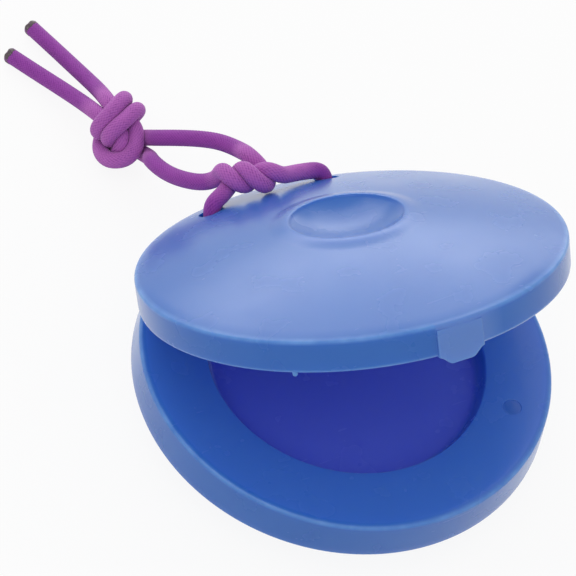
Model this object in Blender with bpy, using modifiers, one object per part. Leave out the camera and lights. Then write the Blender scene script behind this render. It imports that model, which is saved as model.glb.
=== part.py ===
"""A pair of moulded plastic finger castanets, held together and sprung open by one knotted elastic cord.

Metres, +Z up. The lower shell lies on the rolled lip of its finger dish, with its face level. The mouth
opens towards -Y and the hinge line runs along X at the heel. The shells touch there on bevelled heels, which
set how far they stand open.
"""

import math

import bmesh
import bpy
import numpy as np
from mathutils import Matrix, Vector

# Shell, measured from the plane of its face
RIM_RADIUS = 0.0276
LOWER_BAND = 0.0056
LOWER_FLARE = 0.0005
UPPER_BAND = 0.0041
FACE_FILLET = 0.0005
BAND_FILLET = 0.0007
LAND_WIDTH = 0.0011
RING_DROP = 0.0010
RING_WIDTH = 0.0088
PIT_DEPTH = 0.0036
PIT_DRAFT = 0.0005
PIT_FILLET = 0.0009
CROWN_BULGE = 0.00035
CROWN_RISE = 0.0044
LIP_RADIUS = 0.0076
LIP_FLAT = 0.0005
LIP_SPREAD = 0.0015
LIP_STEP = 0.00045
DISH_RADIUS = 0.00705
DISH_DEPTH = 0.0022
DISH_EDGE_DROP = 0.00015
TURNED_STEPS = 72
FILLET_STEPS = 3
CROWN_STEPS = 5
DISH_STEPS = 5
SHARP_DEGREES = 32.0
MERGE_DISTANCE = 0.00001

# Heel: bevels that meet at rest on a line set in from the rim, and the two holes for the cord behind it
PIVOT_INSET = 0.0076
OPEN_DEGREES = 32.7
HEEL_GAP = 0.0003
HOLE_RADIUS = 0.0016
HOLE_SPREAD = 0.0090
HOLE_SETBACK = 0.0015
HOLE_STEPS = 24

# Striking nub on the upper shell, opposite the hinge, with the flat pad that carries it down the band
NUB_WIDTH = 0.0060
NUB_TIP_WIDTH = 0.0026
NUB_HEIGHT = 0.0011
NUB_SHOULDER_SHARE = 0.87
NUB_DEPTH = 0.0034
NUB_PROUD = 0.0001
NUB_SIDE = 0.0017

# Marks that the mould leaves: an ejector's ring on the lower face, a gate's nib on the upper rim
PIN_MARK_RADIUS = 0.0013
PIN_MARK_DEPTH = 0.00012
PIN_MARK_INSET = 0.0048
PIN_MARK_DEGREES = -45.5
GATE_RADIUS = 0.00035
GATE_HEIGHT = 0.0004
GATE_DEGREES = -45.0
MARK_STEPS = 16

# Elastic cord
CORD_DIAMETER = 0.0022
CORD_CLEARANCE = 0.0001
HOLE_CLEARANCE = 0.00025
CORD_SPACING = 0.00095
CURVE_STEPS = 24
EASING_ROUNDS = 120
PULL_SHARE = 0.08
EVENING_SHARE = 0.35
NEIGHBOURS = 4
HELD_POINTS = 3

# The half knot sits on the crown in line with the two holes, the big knot lies behind the heel
HALF_KNOT_SIDE_SHARE = -0.95
HALF_KNOT_LIFT_SHARE = 1.0
BIG_KNOT_OFFSET_SHARES = (-3.7, 10.5)
BIG_KNOT_HEIGHT_SHARE = 2.3

# Both knots are laid out on one slanting plane: the way that it runs, and the way that it faces
KNOT_AXIS_SHARES = (0.87, -0.46, 0.17)
KNOT_FACE_SHARES = (-0.41, -0.48, 0.78)

# The elastic is a little thinner where a knot holds it, and comes back to its size over a few points
KNOT_THICKNESS_SHARE = 0.92
TAPER_POINTS = 3

# Routes, in cord diameters. Half knot: along the plane, up it and off its face
LEFT_HALF_KNOT_SHARES = (
    (-1.95, -1.0, 0.75),
    (-1.45, -0.65, 0.4),
    (-1.0, -0.2, -0.1),
    (-0.8, 0.35, -0.35),
    (-0.6, 0.85, 0.05),
    (-0.25, 0.5, 0.6),
    (0.0, 0.0, 0.75),
    (0.3, -0.45, 0.5),
    (0.55, -0.65, 0.0),
    (0.7, -0.3, -0.5),
    (0.6, 0.3, -0.65),
    (0.35, 0.85, -0.5),
    (-0.15, 1.5, -0.3),
)
RIGHT_HALF_KNOT_SHARES = (
    (3.2, 0.65, -1.6),
    (2.5, 0.55, -1.15),
    (1.95, 0.35, -0.5),
    (1.5, 0.0, 0.2),
    (1.05, 0.0, 0.65),
    (0.75, 0.4, 0.4),
    (0.3, 0.45, -0.2),
    (-0.15, 0.05, -0.35),
    (-0.5, -0.45, -0.1),
    (-0.9, -0.35, 0.45),
    (-1.1, 0.15, 0.6),
    (-1.2, 0.7, 0.3),
    (-1.4, 0.85, -0.3),
    (-1.7, 0.4, -0.6),
    (-2.0, 0.0, -0.5),
)

# Loop: share of the way from the half knot to the big one, then cord diameters to the side and up
UPPER_LOOP_SHARES = (
    (0.25, 1.83, 0.38),
    (0.37, 1.86, 0.49),
    (0.51, 1.55, 0.35),
    (0.66, 1.12, 0.04),
    (0.76, 0.77, -0.19),
)
LOWER_LOOP_SHARES = (
    (0.19, -1.0, -0.49),
    (0.28, -1.24, -0.7),
    (0.4, -1.28, -0.93),
    (0.55, -1.07, -1.08),
    (0.66, -0.8, -0.85),
)

# Under the lower crown, as shares of the way out to the hole's inner wall
UNDER_LOOP_SIDE_SHARES = (0.85, 0.55, 0.25, 0.0)

# Overhand knot in the doubled cord: along the plane, up it and off its face, then half the pair's distance
BIG_KNOT_SHARES = (
    ((1.9, -1.05, -0.8), (0.0, -0.6, 0.0)),
    ((1.0, -0.8, -0.95), (0.0, -0.45, -0.2)),
    ((0.2, -0.5, -0.95), (0.0, 0.1, -0.48)),
    ((-0.55, -0.4, -0.8), (-0.25, 0.25, -0.3)),
    ((-0.95, -0.6, 0.05), (-0.35, 0.25, 0.2)),
    ((-0.7, -0.3, 0.9), (-0.38, 0.25, 0.1)),
    ((0.0, 0.65, 1.3), (-0.4, 0.3, 0.0)),
    ((0.6, 1.35, 0.95), (-0.42, 0.35, 0.0)),
    ((0.8, 1.6, 0.1), (-0.42, 0.35, 0.0)),
    ((0.35, 1.1, -1.0), (-0.4, 0.27, 0.0)),
    ((-0.3, 0.1, -1.6), (-0.4, 0.27, 0.0)),
    ((-0.8, -0.9, -1.25), (-0.4, 0.15, 0.1)),
    ((-0.85, -1.4, -0.3), (-0.36, -0.15, 0.25)),
    ((-0.4, -1.65, 0.45), (-0.18, -0.4, 0.2)),
    ((0.35, -1.5, 0.65), (0.2, -0.42, 0.15)),
    ((0.85, -0.8, 0.55), (0.44, -0.18, 0.05)),
    ((0.8, -0.05, 0.3), (0.45, 0.15, 0.0)),
    ((0.3, 0.55, 0.0), (0.34, 0.34, 0.0)),
    ((-0.4, 1.03, -0.1), (0.4, 0.3, 0.0)),
    ((-0.95, 1.45, -0.15), (0.4, 0.36, 0.0)),
)

# Tails: from the big knot's middle along +X and +Y, then the height over the table
LEFT_TAIL_SHARES = ((-0.8, 3.24, 1.7), (-1.46, 5.69, 1.05), (-2.29, 7.89, 0.68), (-3.27, 10.02, 0.56))
RIGHT_TAIL_SHARES = ((0.42, 3.91, 2.0), (0.18, 6.92, 1.15), (-0.24, 9.55, 0.7), (-0.86, 12.01, 0.56))

# One overrun serves every cut
OVERRUN = 0.0010

MOULD_BLUE = (0.10, 0.22, 0.66, 1.0)
CORD_PURPLE = (0.26, 0.05, 0.33, 1.0)

PIT_RADIUS = RIM_RADIUS - RING_WIDTH
PIN_MARK_REACH = RIM_RADIUS - PIN_MARK_INSET
PIVOT_REACH = RIM_RADIUS - PIVOT_INSET
HOLE_REACH = PIVOT_REACH + HOLE_SETBACK

OPEN_ANGLE = math.radians(OPEN_DEGREES)
HALF_OPEN = OPEN_ANGLE / 2

# Hinge line in the lower shell's frame: on the plane midway between the bevels, over the pivot line
HINGE_Y = PIVOT_REACH + HEEL_GAP / 2 * math.sin(HALF_OPEN)
HINGE_Z = HEEL_GAP / 2 * math.cos(HALF_OPEN)

# Face plane of the lower shell over the table
REST_HEIGHT = LOWER_BAND + CROWN_RISE

# The upper heel reaches farther back than the lower one, and the world's origin is under the middle of both
HEEL_Y = (
    HINGE_Y
    + (RIM_RADIUS - BAND_FILLET - HINGE_Y) * math.cos(OPEN_ANGLE)
    + (UPPER_BAND - BAND_FILLET + HINGE_Z) * math.sin(OPEN_ANGLE)
    + BAND_FILLET
)
LOWER_REACH = RIM_RADIUS + LOWER_FLARE
LOWER_Y = -(max(HEEL_Y, LOWER_REACH) - LOWER_REACH) / 2


def clear_scene():
    for obj in list(bpy.data.objects):
        bpy.data.objects.remove(obj, do_unlink=True)


def new_collection(name):
    collection = bpy.data.collections.new(name)
    bpy.context.scene.collection.children.link(collection)
    return collection


def finish(name, colour, roughness):
    material = bpy.data.materials.new(name)
    material.use_nodes = True
    shader = material.node_tree.nodes["Principled BSDF"]
    shader.inputs["Base Color"].default_value = colour
    shader.inputs["Roughness"].default_value = roughness
    return material


def arc(centre, radius, start, end, steps):
    """Points (r, z) of an arc, with both of its ends. The angles are in degrees from +r towards +z."""
    turns = [math.radians(start + (end - start) * step / steps) for step in range(steps + 1)]
    return [(centre[0] + radius * math.cos(turn), centre[1] + radius * math.sin(turn)) for turn in turns]


def crown_height(radius, band):
    """Height of the crown over the face plane, from the band in to the foot of the lip."""
    share = (RIM_RADIUS - radius) / (RIM_RADIUS - LIP_RADIUS - LIP_SPREAD)
    return band + (CROWN_RISE - LIP_STEP) * share + 4 * CROWN_BULGE * share * (1 - share)


def room_over_crown(clearance):
    """How far over the sloping crown the cord's middle lies, measured along the shell's axis."""
    slope = math.atan2(CROWN_RISE - LIP_STEP, RIM_RADIUS - LIP_RADIUS - LIP_SPREAD)
    return (CORD_DIAMETER / 2 + clearance) / math.cos(slope)


def shell_profile(band, flare):
    """(r, z) from the middle of the pit, out over the ring and the rim, and back over the crown to the dish.

    The face plane is z = 0 and the crown lies below it, as on the lower shell."""
    floor_edge = (PIT_RADIUS - PIT_DRAFT - PIT_FILLET, -PIT_DEPTH + PIT_FILLET)
    points = [(0, -PIT_DEPTH)]
    points += arc(floor_edge, PIT_FILLET, -90, 0, FILLET_STEPS)
    points += [(PIT_RADIUS, -RING_DROP), (RIM_RADIUS - LAND_WIDTH, 0)]
    points += arc((RIM_RADIUS - FACE_FILLET, -FACE_FILLET), FACE_FILLET, 90, 0, FILLET_STEPS)
    inner = RIM_RADIUS + flare - BAND_FILLET
    points += arc((inner, -band + BAND_FILLET), BAND_FILLET, 0, -75, FILLET_STEPS)
    foot = LIP_RADIUS + LIP_SPREAD
    for step in range(1, CROWN_STEPS + 1):
        radius = inner + (foot - inner) * step / CROWN_STEPS
        points.append((radius, -crown_height(radius, band)))
    lip = band + CROWN_RISE
    points.append((LIP_RADIUS + LIP_SPREAD / 2, -lip + LIP_STEP / 2))
    points += [(LIP_RADIUS + LIP_FLAT / 2, -lip), (LIP_RADIUS - LIP_FLAT / 2, -lip)]
    sphere = (DISH_RADIUS**2 + DISH_DEPTH**2) / (2 * DISH_DEPTH)
    half_width = math.degrees(math.asin(DISH_RADIUS / sphere))
    top = -lip + DISH_EDGE_DROP + DISH_DEPTH
    points += arc((0, top - sphere), sphere, 90 - half_width, 90, DISH_STEPS)[:-1]
    points.append((0, top))
    return points


def turned(name, profile, collection, steps):
    """A body of revolution about Z, from a profile that starts and ends on the axis."""
    mesh = bpy.data.meshes.new(name)
    mesh.from_pydata([(r, 0, z) for r, z in profile], [(i, i + 1) for i in range(len(profile) - 1)], [])
    obj = bpy.data.objects.new(name, mesh)
    collection.objects.link(obj)
    screw = obj.modifiers.new("Turn", "SCREW")
    screw.steps = screw.render_steps = steps
    screw.use_merge_vertices = True
    screw.merge_threshold = MERGE_DISTANCE
    return obj


def shape_object(name, shape, collection):
    mesh = bpy.data.meshes.new(name)
    shape.to_mesh(mesh)
    shape.free()
    obj = bpy.data.objects.new(name, mesh)
    collection.objects.link(obj)
    return obj


def cylinder(name, radius, low, high, steps, collection, place=(0, 0)):
    """An upright cylinder between two heights, centred on place."""
    shape = bmesh.new()
    bmesh.ops.create_cone(
        shape, cap_ends=True, segments=steps, radius1=radius, radius2=radius, depth=high - low
    )
    bmesh.ops.translate(shape, verts=shape.verts, vec=(place[0], place[1], (high + low) / 2))
    return shape_object(name, shape, collection)


def prism(name, outline, travel, collection):
    """A flat outline of points, extruded along travel."""
    shape = bmesh.new()
    face = shape.faces.new([shape.verts.new(point) for point in outline])
    moved = bmesh.ops.extrude_face_region(shape, geom=[face])["geom"]
    verts = [item for item in moved if isinstance(item, bmesh.types.BMVert)]
    bmesh.ops.translate(shape, verts=verts, vec=travel)
    bmesh.ops.recalc_face_normals(shape, faces=shape.faces)
    return shape_object(name, shape, collection)


def combine(obj, operation, other):
    modifier = obj.modifiers.new(f"{operation.title()} {other.name}", "BOOLEAN")
    modifier.operation = operation
    modifier.solver = "EXACT"
    modifier.object = other
    other.display_type = "WIRE"


def around(reach, degrees):
    """(x, y) at a distance from the shell's axis, with the angle from +X towards +Y."""
    turn = math.radians(degrees)
    return reach * math.cos(turn), reach * math.sin(turn)


def heel_cutter(name, collection):
    """The wedge behind the pivot line, over the plane that falls by half the opening towards the heel."""
    end = RIM_RADIUS + OVERRUN
    fall = (end - PIVOT_REACH) * math.tan(HALF_OPEN)
    profile = [(PIVOT_REACH, 0), (end, -fall), (end, OVERRUN), (PIVOT_REACH, OVERRUN)]
    return prism(name, [(-end, y, z) for y, z in profile], (2 * end, 0, 0), collection)


def nub_body(name, collection):
    """The nub with its pad: a rounded bump over the face plane, and a pad down the band, a little proud."""
    foot, tip = NUB_WIDTH / 2, NUB_TIP_WIDTH / 2
    low = -UPPER_BAND + BAND_FILLET
    swell = (foot + tip) / 2
    shoulder = NUB_HEIGHT * NUB_SHOULDER_SHARE
    profile = [
        (-foot, low), (foot, low), (foot, 0), (swell, shoulder),
        (tip, NUB_HEIGHT), (-tip, NUB_HEIGHT), (-swell, shoulder), (-foot, 0),
    ]
    outer = -RIM_RADIUS - OVERRUN
    inner = -RIM_RADIUS + NUB_DEPTH
    nub = prism(name, [(NUB_SIDE + x, outer, z) for x, z in profile], (0, inner - outer, 0), collection)
    round_band = cylinder(
        f"{name}_round", RIM_RADIUS + NUB_PROUD, -UPPER_BAND, OVERRUN + NUB_HEIGHT, TURNED_STEPS, collection
    )
    combine(nub, "INTERSECT", round_band)
    return nub, round_band


def pin_mark_cutter(name, collection):
    """A shallow disc, square to the sloping ring."""
    run = RIM_RADIUS - LAND_WIDTH - PIT_RADIUS
    height = -RING_DROP * (RIM_RADIUS - LAND_WIDTH - PIN_MARK_REACH) / run
    cutter = cylinder(name, PIN_MARK_RADIUS, -PIN_MARK_DEPTH, OVERRUN, MARK_STEPS, collection)
    turn = Matrix.Rotation(math.radians(PIN_MARK_DEGREES), 4, "Z")
    tilt = Matrix.Rotation(-math.atan2(RING_DROP, run), 4, "Y")
    cutter.data.transform(turn @ Matrix.Translation((PIN_MARK_REACH, 0, height)) @ tilt)
    return cutter


def make_shell(name, band, flare, parts, cutters, material):
    """One shell in its own frame: its axis is Z, its face plane is z = 0 and its crown is below."""
    shell = turned(name, shell_profile(band, flare), parts, TURNED_STEPS)
    cuts = [heel_cutter(f"{name}_heel_bevel", cutters)]
    for side, label in ((-1, "left"), (1, "right")):
        place = (side * HOLE_SPREAD, HOLE_REACH)
        low = -band - CROWN_RISE
        hole = cylinder(f"{name}_{label}_hole", HOLE_RADIUS, low, OVERRUN, HOLE_STEPS, cutters, place)
        cuts.append(hole)
    for cut in cuts:
        combine(shell, "DIFFERENCE", cut)
    shell.data.materials.append(material)
    return [shell, *cuts]


def blend(first, last, start, end, at):
    return (first * (end - at) + last * (at - start)) / (end - start)


def catmull_rom(four, share):
    """A point of the centripetal curve between the second and the third of four points."""
    roots = np.linalg.norm(np.diff(four, axis=0), axis=1) ** 0.5
    t0, t1, t2, t3 = np.concatenate([[0], np.cumsum(roots)])
    at = t1 + (t2 - t1) * share
    a1 = blend(four[0], four[1], t0, t1, at)
    a2 = blend(four[1], four[2], t1, t2, at)
    a3 = blend(four[2], four[3], t2, t3, at)
    return blend(blend(a1, a2, t0, t2, at), blend(a2, a3, t1, t3, at), t1, t2, at)


def smooth_route(points):
    """An evenly spaced curve through the points, and for each of its own points the place in the list."""
    points = np.asarray(points, float)
    ends = np.vstack([2 * points[0] - points[1], points, 2 * points[-1] - points[-2]])
    path = [
        catmull_rom(ends[index : index + 4], step / CURVE_STEPS)
        for index in range(len(points) - 1)
        for step in range(CURVE_STEPS)
    ]
    path = np.array([*path, points[-1]])
    keys = np.arange(len(path)) / CURVE_STEPS
    run = np.concatenate([[0], np.cumsum(np.linalg.norm(np.diff(path, axis=0), axis=1))])
    stops = np.linspace(0, run[-1], int(round(run[-1] / CORD_SPACING)) + 1)
    even = np.stack([np.interp(stops, run, path[:, axis]) for axis in range(3)], 1)
    return even, np.interp(stops, run, keys)


def lower_frame():
    return Matrix.Translation((0, LOWER_Y, REST_HEIGHT))


def hinge_frame():
    turn = Matrix.Rotation(math.pi, 4, "Y") @ Matrix.Rotation(OPEN_ANGLE, 4, "X")
    return Matrix.Translation((0, LOWER_Y + HINGE_Y, REST_HEIGHT + HINGE_Z)) @ turn


def upper_frame():
    return hinge_frame() @ Matrix.Translation((0, -HINGE_Y, -HINGE_Z))


def placed(frame, points):
    return np.array([tuple(frame @ Vector(point)) for point in points])


def over_crown(side, reach, lift):
    """A point of the upper shell's frame, from its place to the right, off the axis and over the face."""
    return (-side, reach, -lift)


def off_crown(points):
    """Each point moved off the upper shell's crown as far as the cord's thickness needs."""
    frame = np.array(upper_frame())
    local = (points - frame[:3, 3]) @ frame[:3, :3]
    radius = np.hypot(local[:, 0], local[:, 1])
    lowest = crown_height(radius, UPPER_BAND) + room_over_crown(CORD_CLEARANCE)
    lack = np.where(radius < RIM_RADIUS, np.maximum(lowest + local[:, 2], 0), 0)
    return points - lack[:, None] * frame[:3, 2]


def drawn_tight(runs, held, thickness):
    """The runs of cord pulled tight, with contacts kept a thickness apart. The pull dies away, and held
    points stay in place."""
    count = [len(run) for run in runs]
    strand = np.repeat(np.arange(len(runs)), count)
    place = np.concatenate([np.arange(number) for number in count])
    free = ~np.concatenate(held)
    points = np.vstack(runs)
    middle = free.copy()
    middle[[0, -1]] = False
    before = np.flatnonzero(middle) - 1
    after = before + 2
    inner = before + 1
    near_along = (strand[:, None] == strand[None]) & (abs(place[:, None] - place[None]) < NEIGHBOURS)
    half = np.concatenate(thickness) * CORD_DIAMETER / 2
    apart = half[:, None] + half[None] + CORD_CLEARANCE / 2
    weight = np.where(free[None, :], 0.5, 1.0)
    table = CORD_DIAMETER / 2 + CORD_CLEARANCE
    for left in range(EASING_ROUNDS, 0, -1):
        pull = PULL_SHARE * left / EASING_ROUNDS
        points[inner] += pull * ((points[before] + points[after]) / 2 - points[inner])
        for _ in range(3):
            offset = points[:, None] - points[None]
            distance = np.linalg.norm(offset, axis=2) + 1e-12
            lack = np.where((distance < apart) & ~near_along, (apart - distance) * weight, 0)
            push = (offset / distance[:, :, None] * lack[:, :, None]).sum(1)
            push /= np.sqrt(np.maximum((lack > 0).sum(1), 1))[:, None]
            points[free] += push[free]
            points[free] = off_crown(points[free])
            points[free, 2] = np.maximum(points[free, 2], table)
        ahead = points[after] - points[inner]
        behind = points[inner] - points[before]
        along = ahead + behind
        along /= np.linalg.norm(along, axis=1)[:, None]
        slack = np.linalg.norm(ahead, axis=1) - np.linalg.norm(behind, axis=1)
        points[inner] += EVENING_SHARE * slack[:, None] * along
    return np.split(points, np.cumsum(count)[:-1])


def thickness_in(keys, first, last):
    """Each point's share of the free cord's diameter: less between two places of the list, in a knot."""
    inside = (keys > first) & (keys < last)
    order = np.arange(len(keys))
    start, end = order[inside][[0, -1]]
    depth = np.minimum(order - start, end - order) + 1
    return 1 - (1 - KNOT_THICKNESS_SHARE) * np.clip(depth / TAPER_POINTS, 0, 1)


def tightened(strands, spans):
    """Draws the part of each strand between two places of its list tight. A strand is its points, their
    places in the list, and their thickness."""
    runs = []
    held = []
    thickness = []
    windows = []
    for (points, keys, thick), (first, last) in zip(strands, spans):
        thick[:] = np.minimum(thick, thickness_in(keys, first, last))
        low = max(int(np.searchsorted(keys, first)) - HELD_POINTS, 0)
        high = min(int(np.searchsorted(keys, last)) + HELD_POINTS, len(points))
        windows.append((low, high))
        outside = (keys[low:high] < first) | (keys[low:high] > last)
        outside[[0, -1]] = True
        held.append(outside)
        runs.append(points[low:high].copy())
        thickness.append(thick[low:high])
    for (points, _, _), (low, high), run in zip(strands, windows, drawn_tight(runs, held, thickness)):
        points[low:high] = run


def hole_run(band):
    """(side, lift) of the cord's middle from inside the right hole to just over the hole's inner edge. It
    starts short of the plane between the bevels, by enough to clear the other piece of cord there."""
    plane = (HOLE_REACH - HINGE_Y) * math.tan(HALF_OPEN) - HINGE_Z
    lift_start = plane + CORD_DIAMETER / 2 * math.tan(HALF_OPEN) + HEEL_GAP / 2
    wall = HOLE_SPREAD - HOLE_RADIUS
    middle = wall + HOLE_CLEARANCE + CORD_DIAMETER / 2
    bend = middle - wall
    edge = crown_height(math.hypot(wall, HOLE_REACH), band)
    start = [(middle, lift_start), (middle, (lift_start + edge) / 2)]
    turn = [
        (wall + bend * math.cos(angle), edge + bend * math.sin(angle))
        for angle in (math.radians(degrees) for degrees in (0, 30, 60))
    ]
    return start + turn


def under_loop_route():
    """The cord's way through the lower shell, from one hole to the other under the crown."""
    right = [(side, HOLE_REACH, -lift) for side, lift in hole_run(LOWER_BAND)]
    stand = room_over_crown(2 * CORD_CLEARANCE)
    for share in UNDER_LOOP_SIDE_SHARES:
        side = (HOLE_SPREAD - HOLE_RADIUS) * share
        right.append((side, HOLE_REACH, -crown_height(math.hypot(side, HOLE_REACH), LOWER_BAND) - stand))
    left = [(-side, reach, z) for side, reach, z in reversed(right[:-1])]
    return placed(lower_frame(), right + left)


def strand_routes():
    """Control points of the left and the right strand, from the upper shell's holes through both knots to
    the tail, and the places in each list between which each knot is drawn tight."""
    frame = upper_frame()
    knot_lift = crown_height(HOLE_REACH, UPPER_BAND) + HALF_KNOT_LIFT_SHARE * CORD_DIAMETER
    knot_side = HALF_KNOT_SIDE_SHARE * CORD_DIAMETER
    holes = hole_run(UPPER_BAND)
    small = placed(frame, [over_crown(knot_side, HOLE_REACH, knot_lift)])[0]
    axis = Vector(KNOT_AXIS_SHARES).normalized()
    aside = Vector(KNOT_FACE_SHARES).cross(axis).normalized()
    turn = CORD_DIAMETER * np.array([axis, aside, axis.cross(aside)])
    half_knots = []
    for direction, shares in ((-1, LEFT_HALF_KNOT_SHARES), (1, RIGHT_HALF_KNOT_SHARES)):
        run = placed(frame, [over_crown(direction * side, HOLE_REACH, lift) for side, lift in holes])
        half_knots.append(np.vstack([run, small + np.array(shares) @ turn]))
    offset = np.array(BIG_KNOT_OFFSET_SHARES) * CORD_DIAMETER
    big = np.array([small[0] + offset[0], small[1] + offset[1], BIG_KNOT_HEIGHT_SHARE * CORD_DIAMETER])
    across = np.array([offset[1], -offset[0], 0]) / np.linalg.norm(offset)
    loops = []
    for shares in (UPPER_LOOP_SHARES, LOWER_LOOP_SHARES):
        loops.append([
            small + way * (big - small) + CORD_DIAMETER * (side * across + lift * np.array([0, 0, 1]))
            for way, side, lift in shares
        ])
    middle = np.array([point for point, _ in BIG_KNOT_SHARES])
    apart = np.array([half for _, half in BIG_KNOT_SHARES])
    knots = [big + (middle - apart) @ turn, big + (middle + apart) @ turn]
    tails = []
    below = np.array([big[0], big[1], 0])
    for shares in (LEFT_TAIL_SHARES, RIGHT_TAIL_SHARES):
        tails.append(below + np.array(shares) * CORD_DIAMETER)
    routes = []
    spans = []
    for half, loop, knot, tail in zip(half_knots, loops, knots, tails):
        routes.append(np.vstack([half, loop, knot, tail]))
        first_loop = len(half)
        first_knot = first_loop + len(loop)
        first_tail = first_knot + len(knot)
        spans.append(((len(holes) - 0.5, first_loop - 0.1), (first_knot - 0.9, first_tail - 0.1)))
    return routes, spans


def make_cord(name, points, thickness, collection, material):
    data = bpy.data.curves.new(name, "CURVE")
    data.dimensions = "3D"
    spline = data.splines.new("POLY")
    spline.points.add(len(points) - 1)
    for point, place, share in zip(spline.points, points, thickness):
        point.co = (*place, 1)
        point.radius = share
    data.bevel_depth = CORD_DIAMETER / 2
    data.bevel_resolution = 2
    data.use_fill_caps = True
    data.materials.append(material)
    obj = bpy.data.objects.new(name, data)
    collection.objects.link(obj)
    return obj


def round_off(shell):
    """Smooth shading, with the edges that stand at an angle kept."""
    mesh = bpy.data.meshes.new_from_object(shell.evaluated_get(bpy.context.evaluated_depsgraph_get()))
    mesh.shade_smooth()
    mesh.set_sharp_from_angle(angle=math.radians(SHARP_DEGREES))
    shell.modifiers.clear()
    shell.data = mesh


def empty(name, collection, matrix):
    obj = bpy.data.objects.new(name, None)
    obj.empty_display_size = RIM_RADIUS / 2
    obj.matrix_world = matrix
    collection.objects.link(obj)
    return obj


def main():
    clear_scene()
    parts = new_collection("finger_castanets")
    cutters = new_collection("cutters")
    cutters.hide_render = True
    plastic_lower = finish("lower_shell_plastic", MOULD_BLUE, 0.35)
    plastic_upper = finish("upper_shell_plastic", MOULD_BLUE, 0.35)

    base = empty("base", parts, lower_frame())
    hinge = empty("hinge", parts, hinge_frame())

    lower = make_shell("lower_shell", LOWER_BAND, LOWER_FLARE, parts, cutters, plastic_lower)
    mark = pin_mark_cutter("lower_shell_pin_mark", cutters)
    combine(lower[0], "DIFFERENCE", mark)
    for obj in [*lower, mark]:
        obj.parent = base

    nub, nub_round = nub_body("upper_shell_nub", cutters)
    gate_place = around(RIM_RADIUS - GATE_RADIUS, GATE_DEGREES)
    gate_foot = -FACE_FILLET - GATE_RADIUS
    gate = cylinder("upper_shell_gate", GATE_RADIUS, gate_foot, GATE_HEIGHT, MARK_STEPS, cutters, gate_place)
    upper = make_shell("upper_shell", UPPER_BAND, 0, parts, cutters, plastic_upper)
    for extra in (nub, gate):
        combine(upper[0], "UNION", extra)
    for obj in [*upper, nub, nub_round, gate]:
        obj.parent = hinge
        obj.location = (0, -HINGE_Y, -HINGE_Z)

    bpy.context.view_layer.update()
    for shell in (lower[0], upper[0]):
        round_off(shell)

    under = smooth_route(under_loop_route())[0]
    elastic = finish("under_loop_elastic", CORD_PURPLE, 0.8)
    loop = make_cord("cord_under_loop", under, np.ones(len(under)), parts, elastic)
    routes, spans = strand_routes()
    strands = []
    for route in routes:
        points, keys = smooth_route(route)
        strands.append((points, keys, np.ones(len(points))))
    for knot in (0, 1):
        tightened(strands, [pair[knot] for pair in spans])
    for (points, _, thickness), label in zip(strands, ("left", "right")):
        elastic = finish(f"{label}_strand_elastic", CORD_PURPLE, 0.8)
        cord = make_cord(f"cord_{label}_strand", points, thickness, parts, elastic)
        cord.parent = hinge
        cord.matrix_parent_inverse = hinge_frame().inverted()
    loop.parent = base
    loop.matrix_parent_inverse = lower_frame().inverted()


main()
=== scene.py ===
import math
import re

import bmesh
import bpy
import numpy as np
from mathutils import Matrix, Vector


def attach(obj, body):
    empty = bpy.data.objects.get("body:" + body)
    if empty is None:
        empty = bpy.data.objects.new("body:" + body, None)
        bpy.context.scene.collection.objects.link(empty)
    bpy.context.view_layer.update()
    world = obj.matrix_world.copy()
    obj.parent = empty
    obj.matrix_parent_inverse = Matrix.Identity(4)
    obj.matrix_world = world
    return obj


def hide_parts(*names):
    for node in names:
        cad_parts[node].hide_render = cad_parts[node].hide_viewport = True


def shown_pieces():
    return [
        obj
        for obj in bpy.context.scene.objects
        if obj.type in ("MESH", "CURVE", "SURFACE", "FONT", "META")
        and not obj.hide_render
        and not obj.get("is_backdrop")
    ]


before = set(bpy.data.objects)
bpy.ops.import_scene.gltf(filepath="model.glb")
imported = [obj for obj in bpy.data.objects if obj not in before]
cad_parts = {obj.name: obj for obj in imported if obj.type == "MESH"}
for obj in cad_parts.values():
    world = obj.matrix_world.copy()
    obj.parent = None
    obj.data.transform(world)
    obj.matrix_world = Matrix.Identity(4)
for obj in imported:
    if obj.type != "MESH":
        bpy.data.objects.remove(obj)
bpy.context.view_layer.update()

# A pair of moulded finger castanets on their knotted elastic. Metres, +Z up, the mouth towards -Y.
scene = bpy.context.scene
work = bpy.data.collections.new("workshop")
scene.collection.children.link(work)

# one shell, measured from the plane of its face, with its crown below
shell = {
    "rim": 0.0276,
    "lowerBand": 0.0056,
    "upperBand": 0.0041,
    "lowerFlare": 0.0005,
    "faceFillet": 0.0005,
    "bandFillet": 0.0007,
    "crownEdge": 0.00038,
    "land": 0.0011,
    "landCorner": ((-0.00012, -0.00002), (0.0001, 0)),
    "ringWidth": 0.0088,
    "ringDrop": 0.0010,
    "pitDepth": 0.0036,
    "pitDraft": 0.0005,
    "pitFillet": 0.0009,
    "pitLip": 0.00022,
    "crownBulge": 0.00035,
    "crownRise": 0.0044,
    "lipRadius": 0.0076,
    "lipSpread": 0.0015,
    "lipBlend": 0.0011,
    "lipStep": 0.00045,
    "lipRound": 0.00042,
    "lipTop": 0.0001,
    "rollInset": 0.00012,
    "rollDegrees": 152,
    "dishDepth": 0.0022,
    "steps": 216,
    "weld": 0.000002,
    "sharpDegrees": 34.0,
    "cutOver": 0.001,
}
heel = {
    "pivotInset": 0.0076,
    "openDegrees": 32.7,
    "gap": 0.0003,
    "holeRadius": 0.0016,
    "holeSpread": 0.0090,
    "holeSetback": 0.0015,
    "holeRound": 0.00032,
    "holeSteps": 48,
    "flareInset": 0.97,
    "flareUp": 0.0002,
    "flareDown": 0.0008,
    "slopeStep": 0.0005,
}

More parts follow.
